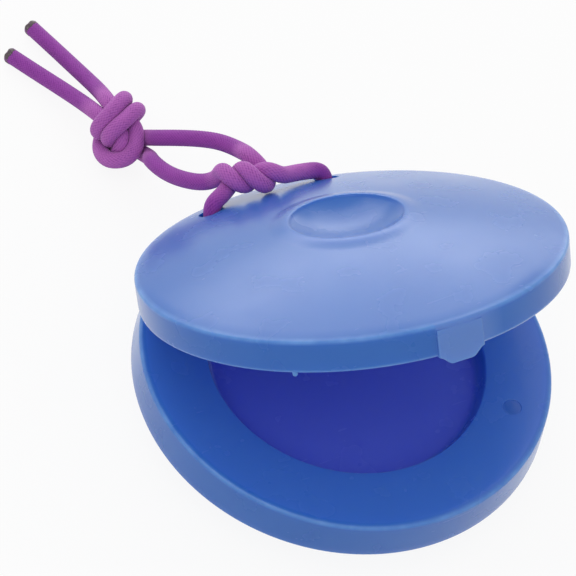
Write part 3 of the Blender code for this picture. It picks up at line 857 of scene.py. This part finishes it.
def braidTree():
    # yarns plaited over and under each other along a tube
    tree, given = newTree(
        "braidedCover", "GeometryNodeTree",
        {"Tube": "Geometry", "Yarns": "Int", "Pitch": "Float", "Relief": "Float", "Material": "Material"},
        {"Braided": "Geometry"},
    )
    along, around = [
        node(tree, "GeometryNodeInputNamedAttribute", name=label).outputs["Attribute"]
        for label in ("along", "around")
    ]
    forward = maths("DIVIDE", along, given["Pitch"])
    sideways = times(around, given["Yarns"])
    turns = [maths(operation, forward, sideways) for operation in ("ADD", "SUBTRACT")]
    waves = [maths("SINE", times(turn, math.pi)) for turn in turns]
    ridges = [maths("POWER", maths("ABSOLUTE", wave), 0.7) for wave in waves]
    cell = maths("ADD", *[maths("FLOOR", turn) for turn in turns])
    odd = maths("GREATER_THAN", maths("FLOORED_MODULO", maths("ADD", cell, 0.01), 2.0), 1.0)
    dips = [maths("MULTIPLY_ADD", ridge, 0.5, 0.5) for ridge in ridges]
    heights = [times(ridges[over], dips[1 - over]) for over in (0, 1)]
    height = maths("MULTIPLY_ADD", maths("SUBTRACT", heights[1], heights[0]), odd, heights[0])
    stored = node(
        tree, "GeometryNodeStoreNamedAttribute", setting={"data_type": "FLOAT", "domain": "POINT"},
        geometry=given["Tube"], name="relief", value=height,
    )
    rise = times(maths("SUBTRACT", height, 0.5), given["Relief"])
    normal = node(tree, "GeometryNodeInputNormal").outputs[0]
    offset = node(tree, "ShaderNodeVectorMath", normal, setting={"operation": "SCALE"}, scale=rise)
    moved = node(tree, "GeometryNodeSetPosition", geometry=stored.outputs[0], offset=offset.outputs[0])
    return closeShape(tree, moved.outputs[0], given["Material"], "braided")


coverTree = braidTree()


def tiedLines():
    # each piece of the elastic as its line, its radius and its share of a knot, all along it
    lines, spans = strandRoutes()
    strands = []
    for points in lines:
        path, keys = smoothRoute(points, cord["spacing"], easing["curveSteps"])
        strands.append((path, keys, np.ones(len(path))))
    for knot in (0, 1):
        tightened(strands, [pair[knot] for pair in spans])
    under = smoothRoute(underLoopRoute(), cord["spacing"], easing["curveSteps"])[0]
    strands.append((under, None, np.ones(len(under))))
    tied = []
    for points, keys, thick in strands:
        line, depth = carriedOver(*fineLine(points, thick, keys is not None))
        if keys is None:
            line, depth = [part[::-1] for part in carriedOver(line[::-1], depth[::-1])]
        share = np.full(len(line), cord["shown"])
        share[: braid["plainStart"]] = 1.0
        tied.append((line, share * cord["diameter"] / 2, depth))
    return tied


def makeStrands(material, tipMaterial):
    tied = tiedLines()
    pieces = []
    skip = int(braid["ownReach"] * cord["diameter"] / braid["spacing"])
    names = ("leftStrand", "rightStrand", "underLoop")
    for number, (name, (line, radii, drawn)) in enumerate(zip(names, tied)):
        sides, ups = ringFrames(line)
        turns = (np.arange(braid["around"]) / braid["around"] * 2 * math.pi)[None, :, None]
        circle = np.cos(turns) * sides[:, None] + np.sin(turns) * ups[:, None]
        rings = line[:, None] + circle * radii[:, None, None]
        if number < 2:
            rest = tied[1 - number][0]
            others = [
                np.vstack([rest, line[: max(index - skip, 0)], line[index + skip :]])
                for index in range(len(line))
            ]
            rings = evened(pressed(rings, line, others, cord["diameter"] / 2 * cord["shown"]))
            rings = clearOf(rings, upperFrame(), shell["upperBand"])
        else:
            rings = clearOf(rings, lowerFrame(), shell["lowerBand"])
        obj = newObject(name, tubeMesh(name, rings, line, drawn))
        cover = {label: braid[label] for label in ("yarns", "pitch", "relief")}
        pieces.append((grown(obj, coverTree, material=material, **cover), line))
    tips = [meltedTip(f"{name}Tip", *tied[number][:2], tipMaterial) for number, name in enumerate(names[:2])]
    return pieces, tips


tip = {"length": 0.00075, "over": 0.00025, "swell": 1.03, "steps": 40, "lowest": 0.00002}


def meltedTip(name, line, radii, material):
    # the cut end, sealed with a flame: a thin scorched cap, a little uneven
    sides, ups = ringFrames(line[-40:])
    ahead = line[-1] - line[-4]
    ahead /= np.linalg.norm(ahead)
    side, up = sides[-1], ups[-1]
    length, over, swell = tip["length"], tip["over"], tip["swell"]
    profile = [(0.985, -length), (swell, -length * 0.8), (swell, -length * 0.3), (swell * 0.99, 0.0)]
    profile += [(0.93, over * 0.55), (0.80, over * 0.85), (0.62, over)]
    profile += [(0.40, over * 0.75), (0.18, over * 0.45)]
    shape = bmesh.new()
    loops = []
    for share, forward in profile:
        loops.append([])
        for step in range(tip["steps"]):
            angle = step / tip["steps"] * 2 * math.pi
            uneven = 0.02 * math.sin(3 * angle + 1.1) + 0.014 * math.sin(5 * angle + 2.3)
            ragged = 0.00007 * math.sin(4 * angle + 0.4) + 0.00005 * math.sin(7 * angle)
            radius = radii[-1] * share * (1 + uneven * (1 if share > 0.9 else 0.5))
            place = line[-1] + ahead * (forward + ragged * (1 if forward < -length / 2 else 0.6))
            place = place + radius * (math.cos(angle) * side + math.sin(angle) * up)
            loops[-1].append(shape.verts.new(place))
    pole = shape.verts.new(line[-1] + ahead * over * 0.35)
    inner = shape.verts.new(line[-1] - ahead * length)
    for step in range(tip["steps"]):
        for low, high in zip(loops, loops[1:]):
            shape.faces.new((low[step - 1], low[step], high[step], high[step - 1]))
        shape.faces.new((loops[-1][step - 1], loops[-1][step], pole))
        shape.faces.new((loops[0][step], loops[0][step - 1], inner))
    for vert in shape.verts:
        vert.co.z = max(vert.co.z, tip["lowest"])
    bmesh.ops.recalc_face_normals(shape, faces=shape.faces)
    obj = fromShape(name, shape)
    obj.data.materials.append(material)
    obj.data.shade_smooth()
    return obj


surface = {"Colour": "Color", "Roughness": "Float", "Height": "Float"}  # what each shader group puts out


def colourMix(factor, first, second, blend="MIX"):
    tree = treeOf(factor, first, second)
    mix = node(tree, "ShaderNodeMix", setting={"data_type": "RGBA", "blend_type": blend})
    inputs = {item.identifier: item for item in mix.inputs}
    for name, value in (("Factor_Float", factor), ("A_Color", first), ("B_Color", second)):
        feed(inputs[name], value)
    return next(item for item in mix.outputs if item.identifier == "Result_Color")


def noise(vector, scale, detail=2.0, roughness=0.5):
    tree = treeOf(vector)
    made = node(tree, "ShaderNodeTexNoise", vector=vector, scale=scale, detail=detail, roughness=roughness)
    return made.outputs["Fac"]


def ranged(value, low, high, start=0.0, end=1.0):
    reach = {"fromMin": low, "fromMax": high, "toMin": start, "toMax": end}
    return node(treeOf(value), "ShaderNodeMapRange", value=value, **reach).outputs["Result"]


# where each colour of a shell fades in, from none to all, in the shell's own place
fades = {
    # pitWall and pitLevel place the painted light in the pit
    "pitWall": (0.0, -0.0012),
    "pitLevel": (-0.0045, -0.004),
    # faceLevel and faceReach place the painted light on the face ring
    "faceLevel": (-0.0016, -0.0011),
    "faceReach": (-0.0004, -0.0010),
    # nearRim, faceEdge and crownEdge place the painted highlight lines along the face and crown edges
    "nearRim": (0.0008, 0.00025),
    "faceEdge": (0.00055, 0.00015),
    "crownEdge": (0.00055, 0.0002),
    # the pad's fades place the painted reflection on the nub's flat pad
    "padCrispSide": (0.00485, 0.0046),
    "padSoftSide": (-0.0045, -0.0010),
    "padReach": (-0.0006, -0.0003),
    "padFront": (-0.018, -0.020),
    "mark": (0.0014, 0.0009, 0.0, 0.35),
}
grain = {"cloud": 75.0, "edge": 420.0, "fine": 2600.0, "smear": 160.0, "scratch": 1900.0, "scratched": 130.0}


def mouldedGroup():
    # cloudy pigment, fine grain and handling scratches of moulded plastic, and painted light: painted
    # highlight lines along the face and crown edges, a paler face ring and pit, and a painted reflection on
    # the nub's flat pad
    colours = ("Colour", "Deep", "Pit", "Face", "Edge", "Pad", "Mark")
    amounts = ("Pad Share", "Cloud", "Pit Radius", "Rim", "Band", "Roughness", "Scuffs")
    inputs = {"Place": "Vector", "Mark Place": "Vector"}
    inputs |= dict.fromkeys(colours, "Color") | dict.fromkeys(amounts, "Float")
    tree, given = newTree("mouldedSurface", "ShaderNodeTree", inputs, surface)
    place = given["Place"]

    def faded(name, value):
        return ranged(value, *fades[name])

    across, along, level = node(tree, "ShaderNodeSeparateXYZ", place).outputs
    flat = node(tree, "ShaderNodeCombineXYZ", across, along).outputs[0]
    radius = node(tree, "ShaderNodeVectorMath", flat, setting={"operation": "LENGTH"}).outputs["Value"]
    out = maths("SUBTRACT", radius, given["Rim"])
    pastPit = maths("SUBTRACT", radius, given["Pit Radius"])
    toCrown = maths("ABSOLUTE", maths("ADD", level, given["Band"]))
    faceEdge = faded("faceEdge", maths("ABSOLUTE", level))
    edge = maths("MAXIMUM", faceEdge, faded("crownEdge", toCrown))
    uneven = ranged(noise(place, grain["edge"]), 0.3, 0.7, 0.45, 1.0)
    padSides = times(faded("padCrispSide", across), faded("padSoftSide", across))
    toMark = node(
        tree, "ShaderNodeVectorMath", place, given["Mark Place"], setting={"operation": "DISTANCE"}
    ).outputs["Value"]
    cloud = noise(place, grain["cloud"], 3.0, 0.55)
    masks = (
        times(ranged(cloud, 0.35, 0.7), given["Cloud"]),
        # painted light: the pit is tinted paler and more violet than the plastic
        times(faded("pitWall", pastPit), faded("pitLevel", level)),
        # painted light: the face ring is painted paler than the plastic
        times(faded("faceLevel", level), faded("faceReach", out)),
        # painted highlight: a pale line along the face edge and the crown edge
        times(faded("nearRim", maths("ABSOLUTE", out)), edge, uneven),
        # painted reflection: the nub's flat pad is painted paler
        times(padSides, faded("padReach", out), faded("padFront", along), given["Pad Share"]),
        faded("mark", toMark),
    )
    colour = given["Colour"]
    for share, name in zip(masks, colours[1:]):
        colour = colourMix(share, colour, given[name])
    scratches = []
    for turn, seed in ((0.4, 3.1), (1.9, 7.7), (2.7, 1.3)):
        rotated = node(
            tree, "ShaderNodeMapping", vector=place,
            rotation=(0, 0, turn), location=(seed, seed / 2, 0), scale=(0.05, 1, 1),
        ).outputs[0]
        fine = ranged(noise(rotated, grain["scratch"], 1.0), 0.70, 0.78)
        scratches.append(times(fine, ranged(noise(rotated, grain["scratched"], 1.0), 0.52, 0.62)))
    scratch = times(chained("MAXIMUM", *scratches), given["Scuffs"])
    smear = ranged(noise(place, grain["smear"], 3.0), 0.3, 0.7, -0.035, 0.045)
    rough = maths("MULTIPLY_ADD", scratch, 0.25, maths("ADD", given["Roughness"], smear))
    height = maths("MULTIPLY_ADD", noise(place, grain["fine"]), 0.30, times(cloud, 0.5))
    return closeTree(tree, colour=colour, roughness=rough, height=maths("SUBTRACT", height, scratch))


def fibreGroup():
    # dyed yarn: filaments along each yarn, painted shade down between the yarns, worn paler on top, and the
    # knots painted paler as a painted sheen
    inputs = {"Run": "Vector"} | dict.fromkeys(("Colour", "Deep", "Worn", "Tight"), "Color")
    inputs |= dict.fromkeys(("Relief", "Drawn", "Yarns", "Pitch"), "Float")
    tree, given = newTree("dyedYarn", "ShaderNodeTree", inputs, surface)
    relief = given["Relief"]
    along, around, _ = node(tree, "ShaderNodeSeparateXYZ", given["Run"]).outputs
    forward = maths("DIVIDE", along, given["Pitch"])
    sideways = times(around, given["Yarns"])
    weave = node(tree, "ShaderNodeCombineXYZ", forward, sideways).outputs[0]
    filaments = noise(weave, 3.2, 3.0, 0.65)
    blotches = noise(weave, 0.09)
    worn = ranged(filaments, 0.4, 0.7, 0.1, 0.8)
    layers = (
        ("Worn", times(ranged(relief, 0.6, 1.0), worn)),
        # painted sheen: the yarns in a knot are painted paler and pinker, the more the deeper in
        ("Tight", times(given["Drawn"], ranged(relief, 0.1, 0.75, 0.25, 1.0))),
    )
    # painted shade: the yarns are darker down between them
    colour = colourMix(ranged(relief, 0.05, 0.6), given["Deep"], given["Colour"])
    for name, share in layers:
        colour = colourMix(share, colour, given[name])
    faint = [ranged(blotches, 0.3, 0.7, low, 1.0) for low in (0.75, 0.7, 0.8)]
    blotched = node(tree, "ShaderNodeCombineXYZ", *faint).outputs[0]
    return closeTree(
        tree, colour=colourMix(0.35, colour, blotched, "MULTIPLY"),
        roughness=ranged(filaments, 0.3, 0.7, 0.72, 0.9),
        height=maths("MULTIPLY_ADD", filaments, 0.5, relief),
    )


plasticGroup = mouldedGroup()
yarnGroup = fibreGroup()

plastic = {
    "surface": {
        "colour": (0.014, 0.150, 0.560, 1),
        "deep": (0.009, 0.132, 0.520, 1),
        # a painted highlight along the face and crown edges
        "edge": (0.120, 0.310, 0.720, 1),
        # painted light: a paler tint on the face ring
        "face": (0.060, 0.200, 0.680, 1),
        # painted light: a paler, more violet tint in the pit
        "pit": (0.100, 0.150, 0.720, 1),
        # a painted reflection on the nub's flat pad
        "pad": (0.110, 0.250, 0.650, 1),
        "mark": (0.010, 0.085, 0.380, 1),
        "cloud": 0.6,
        "roughness": 0.25,
        "scuffs": 0.12,
    },
    "bumpDistance": 0.00002,
    "bend": 1.47,
    "shader": {
        "coatWeight": 0.5,
        "coatIOR": 1.22,
        "coatRoughness": 0.3,
        "subsurfaceWeight": 0.5,
        "subsurfaceRadius": (0.35, 0.6, 1.0),
        "subsurfaceScale": 0.003,
    },
}
elastic = {
    "surface": {
        "colour": (0.335, 0.055, 0.410, 1),
        # painted shade for the grooves between the yarns
        "deep": (0.172, 0.020, 0.250, 1),
        "worn": (0.440, 0.120, 0.480, 1),
        # the knots' paler, pinker colour is a painted sheen
        "tight": (0.620, 0.190, 0.610, 1),
    },
    "tightShare": 0.7,
    "bumpDistance": 0.00004,
    "shader": {
        "sheenWeight": 0.35,
        "sheenRoughness": 0.45,
        "sheenTint": (0.85, 0.65, 0.95, 1),
        "specularIORLevel": 0.3,
    },
}
scorch = {
    "colour": (0.115, 0.085, 0.095, 1),
    "pale": (0.230, 0.200, 0.190, 1),
    "char": (0.045, 0.028, 0.040, 1),
    "bumpDistance": 0.00005,
}


def newMaterial(name):
    material = bpy.data.materials.new(name)
    material.use_nodes = True
    tree = material.node_tree
    return material, tree, tree.nodes["Principled BSDF"]


def finishSurface(shader, colour, roughness, height, distance, **values):
    tree = shader.id_data
    bump = node(tree, "ShaderNodeBump", strength=1.0, distance=distance, height=height)
    give(shader, baseColor=colour, roughness=roughness, normal=bump.outputs[0], **values)
    spreadOut(tree)


def dressed(shader, group, look, **inputs):
    made = node(shader.id_data, "ShaderNodeGroup", setting={"node_tree": group}, **look["surface"], **inputs)
    finishSurface(shader, *[made.outputs[name] for name in surface], look["bumpDistance"], **look["shader"])


def plasticMaterial(name, matrix, band, padShare, markPlace):
    material, tree, shader = newMaterial(name)
    local = node(
        tree, "ShaderNodeMapping", setting={"vector_type": "TEXTURE"}, rotation=matrix.to_euler(),
        vector=node(tree, "ShaderNodeTexCoord").outputs["Object"], location=matrix.translation,
    )
    dressed(
        shader, plasticGroup, plastic, place=local.outputs[0], rim=shell["rim"], band=band,
        pitRadius=pitRadius, padShare=padShare, markPlace=markPlace,
    )
    shader.inputs["IOR"].default_value = plastic["bend"]
    return material


def elasticMaterial(name):
    material, tree, shader = newMaterial(name)
    run = node(tree, "ShaderNodeUVMap", setting={"uv_map": "cordUV"}).outputs[0]
    relief, drawn = [
        node(tree, "ShaderNodeAttribute", setting={"attribute_name": label}).outputs["Fac"]
        for label in ("relief", "drawn")
    ]
    # painted sheen on the knots, growing with the depth into a knot
    tight = ranged(drawn, 0.0, 1.0, 0.0, elastic["tightShare"])
    dressed(
        shader, yarnGroup, elastic, run=run, relief=relief, drawn=tight,
        yarns=float(braid["yarns"]), pitch=braid["pitch"],
    )
    return material


def scorchMaterial(name):
    material, tree, shader = newMaterial(name)
    coords = node(tree, "ShaderNodeTexCoord").outputs["Object"]
    spots = noise(coords, 1400.0, 3.0)
    colour = colourMix(ranged(spots, 0.35, 0.6), scorch["char"], scorch["colour"])
    colour = colourMix(ranged(noise(coords, 2300.0), 0.55, 0.7), colour, scorch["pale"])
    finishSurface(shader, colour, ranged(spots, 0.3, 0.7, 0.35, 0.7), spots, scorch["bumpDistance"])
    return material


# camera and stage
cameraSet = {
    "place": (-0.10603, -0.11050, 0.20771),
    "right": (0.8696, -0.4647, 0.1668),
    "up": (0.2817, 0.7444, 0.6054),
    "lens": 118.75,
}
stageSet = {
    "floor": (0.90, 0.90, 0.905, 1),
    "floorRoughness": 0.9,
    "floorSize": 3.0,
    "floorGlow": 0.90,
    "worldLight": 0.62,
    "aim": (0, 0.01, 0.015),
    "back": {"place": (0.16, 0.56, 0.27), "size": (0.56, 0.36), "watts": 1.2},
    "top": {"place": (-0.22, -0.05, 0.55), "size": (0.40, 0.40), "watts": 0.45},
    # a panel that only shows as a reflection
    "panel": {"place": (0.34, 0.62, 0.06), "size": (0.70, 0.30), "watts": 0.95},
}


def makeCamera():
    data = bpy.data.cameras.new("camera")
    data.lens = cameraSet["lens"]
    data.sensor_width = 36
    data.clip_start, data.clip_end = 0.01, 20
    obj = bpy.data.objects.new("camera", data)
    right = Vector(cameraSet["right"]).normalized()
    up = Vector(cameraSet["up"])
    up = (up - right * up.dot(right)).normalized()
    turn = Matrix((right, up, right.cross(up))).transposed().to_4x4()
    obj.matrix_world = Matrix.Translation(cameraSet["place"]) @ turn
    scene.collection.objects.link(obj)
    scene.camera = obj


def makeStage():
    shape = bmesh.new()
    bmesh.ops.create_grid(shape, x_segments=1, y_segments=1, size=stageSet["floorSize"])
    floor = fromShape("floor", shape)
    material, tree, shader = newMaterial("paleFloor")
    give(shader, baseColor=stageSet["floor"], roughness=stageSet["floorRoughness"])
    seen = node(tree, "ShaderNodeLightPath").outputs
    straightOn = times(seen["Is Camera Ray"], stageSet["floorGlow"])
    share = chained("MAXIMUM", straightOn, seen["Is Glossy Ray"], seen["Is Transmission Ray"])
    glow = node(tree, "ShaderNodeEmission").outputs[0]
    mix = node(tree, "ShaderNodeMixShader", share, shader.outputs[0], glow)
    give(tree.nodes["Material Output"], surface=mix.outputs[0])
    spreadOut(tree)
    floor.data.materials.append(material)
    floor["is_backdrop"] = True
    world = bpy.data.worlds.new("studio")
    scene.world = world
    world.use_nodes = True
    tree = world.node_tree
    seen = node(tree, "ShaderNodeLightPath").outputs
    share = chained("MAXIMUM", *[seen[f"Is {ray} Ray"] for ray in ("Camera", "Glossy", "Transmission")])
    strength = maths("MULTIPLY_ADD", share, 1 - stageSet["worldLight"], stageSet["worldLight"])
    give(tree.nodes["Background"], color=(1, 1, 1, 1), strength=strength)
    for name in ("back", "top", "panel"):
        lamp = stageSet[name]
        data = bpy.data.lights.new(name, "AREA")
        data.shape = "RECTANGLE"
        data.size, data.size_y = lamp["size"]
        data.energy = lamp["watts"]
        obj = bpy.data.objects.new(name, data)
        obj.visible_diffuse = name != "panel"
        turn = (Vector(stageSet["aim"]) - Vector(lamp["place"])).to_track_quat("-Z", "Y")
        obj.matrix_world = Matrix.Translation(lamp["place"]) @ turn.to_matrix().to_4x4()
        scene.collection.objects.link(obj)
    scene.view_settings.view_transform = "Standard"


makeCamera()
makeStage()
print("stage and camera are ready")

purple = elasticMaterial("braidedElastic")
cords, tips = makeStrands(purple, scorchMaterial("scorchedEnd"))
for (obj, _), nodeName, body in zip(
    cords, ("cord_left_strand", "cord_right_strand", "cord_under_loop"), ("upper", "upper", "lower")
):
    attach(obj, body)
    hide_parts(nodeName)
for number, label in enumerate(("left", "right")):
    obj, line = cords[number]
    measured = float(np.linalg.norm(np.diff(line, axis=0), axis=1).sum())
    print(f"{label} strand is {measured * 1000:.1f} mm long")
    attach(tips[number], "upper")
print("elastic is tied")

upper = makeShell(
    "upperShell", shell["upperBand"], 0,
    plasticMaterial("upperPlastic", upperFrame(), shell["upperBand"], 1.0, (1, 1, 0)),
    [nubBody("nub"), gateBody("gate")], [], upperFrame(),
)
lower = makeShell(
    "lowerShell", shell["lowerBand"], shell["lowerFlare"],
    plasticMaterial("lowerPlastic", lowerFrame(), shell["lowerBand"], 0.0, pinPlace()),
    [], [pinCutter("pinMark")], lowerFrame(),
)
for obj, nodeName, body in ((upper, "upper_shell", "upper"), (lower, "lower_shell", "lower")):
    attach(obj, body)
    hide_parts(nodeName)
print("shells are moulded")

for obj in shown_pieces():
    print(obj.name, len(obj.data.loop_triangles) or len(obj.data.polygons), "faces")
